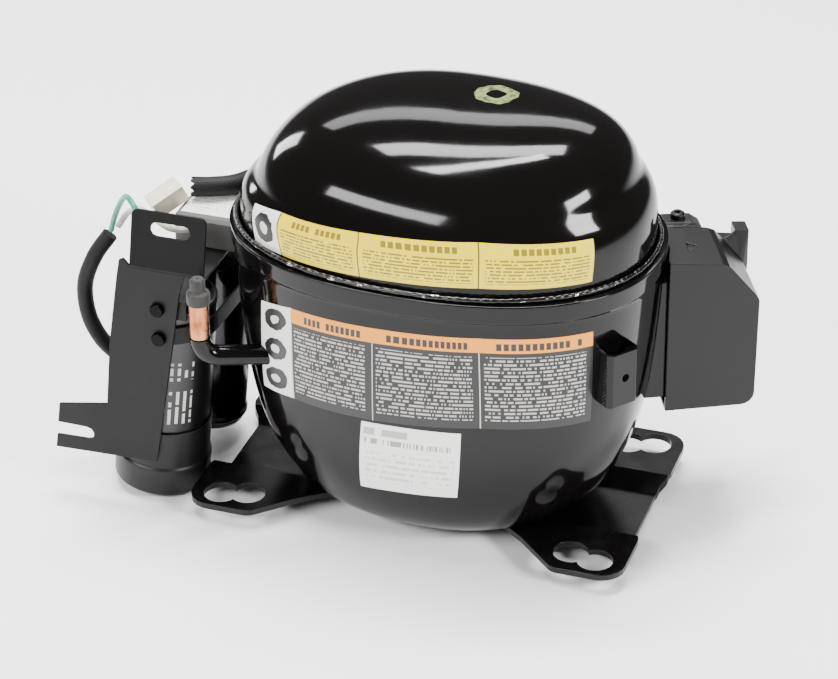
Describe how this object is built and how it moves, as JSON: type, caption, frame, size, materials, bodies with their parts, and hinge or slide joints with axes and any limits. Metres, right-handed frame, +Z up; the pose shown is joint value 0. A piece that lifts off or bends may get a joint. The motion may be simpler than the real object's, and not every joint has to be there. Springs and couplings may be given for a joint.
{
  "type": "hermetic reciprocating compressor",
  "caption": "Sealed black two-part steel shell on a stamped base plate, with its motor and piston pump, a terminal box and a capacitor pack.",
  "frame": {"origin": "centre of the foot hole pattern, on the underside of the base plate channel", "axes": "+Z up along the shell axis, +X towards the terminal cover, +Y away from the suction stub and labels"},
  "size_m": [0.3321, 0.1646, 0.2128],
  "materials": {
    "shell_enamel": "glossy black enamel over drawn steel",
    "sheet_paint": "satin black coated sheet steel",
    "black_plastic": "moulded black plastic",
    "can_plastic": "glossy black capacitor can",
    "black_rubber": "matt black rubber",
    "sleeve": "woven-look black cable sleeving",
    "cream_nylon": "cream nylon moulding",
    "grey_plastic": "grey phenolic relay case",
    "green_wire": "green wire insulation",
    "white_wire": "white wire insulation",
    "copper": "bright copper tube",
    "winding_copper": "enamelled copper winding",
    "steel": "plain machined steel",
    "cast_iron": "as-cast grey iron",
    "lamination": "stacked electrical steel",
    "aluminium": "machined aluminium"
  },
  "bodies": {
    "housing": {"base_plate": "shell_enamel", "lower_shell": "shell_enamel", "upper_shell": "shell_enamel", "weld_bead": "shell_enamel", "service_bracket": "shell_enamel", "terminal_fence": "shell_enamel", "hermetic_terminal": "steel", "terminal_pin_1": "steel", "terminal_pin_2": "steel", "terminal_pin_3": "steel", "overload_protector": "black_plastic", "terminal_block": "black_plastic", "suction_tube": "shell_enamel", "suction_stub": "copper", "discharge_tube": "copper", "process_tube": "copper", "capacitor_bracket": "sheet_paint", "capacitor_strap": "sheet_paint", "relay_shelf": "sheet_paint", "shelf_screw": "steel", "strap_screw": "steel", "start_capacitor": "can_plastic", "start_capacitor_boot": "black_plastic", "run_capacitor": "can_plastic", "start_relay": "grey_plastic", "connector_housing": "cream_nylon", "harness_sleeve": "sleeve", "cable_loop": "sleeve", "ground_wire": "green_wire", "line_wire": "white_wire", "suspension_spring_1": "steel", "suspension_spring_2": "steel", "suspension_spring_3": "steel", "suspension_spring_4": "steel"},
    "cover": {"terminal_cover": "black_plastic"},
    "suction_plug": {"suction_cap": "black_rubber"},
    "discharge_plug": {"discharge_cap": "black_rubber"},
    "process_plug": {"process_cap": "black_rubber"},
    "pump": {"cylinder_block": "cast_iron", "stator_core": "lamination", "upper_winding": "winding_copper", "lower_winding": "winding_copper", "valve_plate": "steel", "cylinder_head": "cast_iron", "suction_muffler": "cream_nylon", "head_screw_1": "steel", "head_screw_2": "steel", "discharge_loop": "copper"},
    "crank": {"crankshaft": "steel", "rotor_core": "aluminium", "oil_pickup": "steel"},
    "rod": {"connecting_rod": "cast_iron", "wrist_pin": "steel"},
    "piston": {"piston": "aluminium"},
    "suction_leaf": {"suction_reed": "steel"},
    "discharge_leaf": {"discharge_reed": "steel"}
  },
  "joints": [
    {"name": "cover_pull", "type": "slide", "parent": "housing", "child": "cover", "axis": [0.8988, 0.4384, 0], "range_m": [0, 0.06]},
    {"name": "suction_cap_pull", "type": "slide", "parent": "housing", "child": "suction_plug", "axis": [0, 0, 1], "range_m": [0, 0.03]},
    {"name": "discharge_cap_pull", "type": "slide", "parent": "housing", "child": "discharge_plug", "axis": [0, 0, 1], "range_m": [0, 0.012]},
    {"name": "process_cap_pull", "type": "slide", "parent": "housing", "child": "process_plug", "axis": [0, 0, 1], "range_m": [0, 0.01]},
    {"name": "pump_float", "type": "slide", "parent": "housing", "child": "pump", "axis": [0, 0, 1], "range_m": [-0.002, 0.002], "stiffness_N_per_m": 40000, "springref_m": 0.0013, "deforming": ["suspension_spring_1", "suspension_spring_2", "suspension_spring_3", "suspension_spring_4"]},
    {"name": "crank_spin", "type": "hinge", "parent": "pump", "child": "crank", "pos_m": [0.01, 0.0014, 0.115], "axis": [0, 0, 1], "continuous": true},
    {"name": "rod_swing", "type": "hinge", "parent": "crank", "child": "rod", "pos_m": [0.01, 0.0079, 0.14], "axis": [0, 0, 1], "continuous": true},
    {"name": "piston_stroke", "type": "slide", "parent": "pump", "child": "piston", "axis": [1, 0, 0], "range_m": [-0.0065, 0.0065]},
    {"name": "suction_reed_lift", "type": "hinge", "parent": "pump", "child": "suction_leaf", "pos_m": [-0.0657, -0.0041, 0.153], "axis": [0, -1, 0], "range_deg": [0, 4], "stiffness_Nm_per_rad": 0.02},
    {"name": "discharge_reed_lift", "type": "hinge", "parent": "pump", "child": "discharge_leaf", "pos_m": [-0.06995, 0.0069, 0.153], "axis": [0, 1, 0], "range_deg": [0, 4], "stiffness_Nm_per_rad": 0.02}
  ],
  "couplings": [
    {"joint": "rod_swing", "follows": "crank_spin", "ratio": -1}
  ]
}
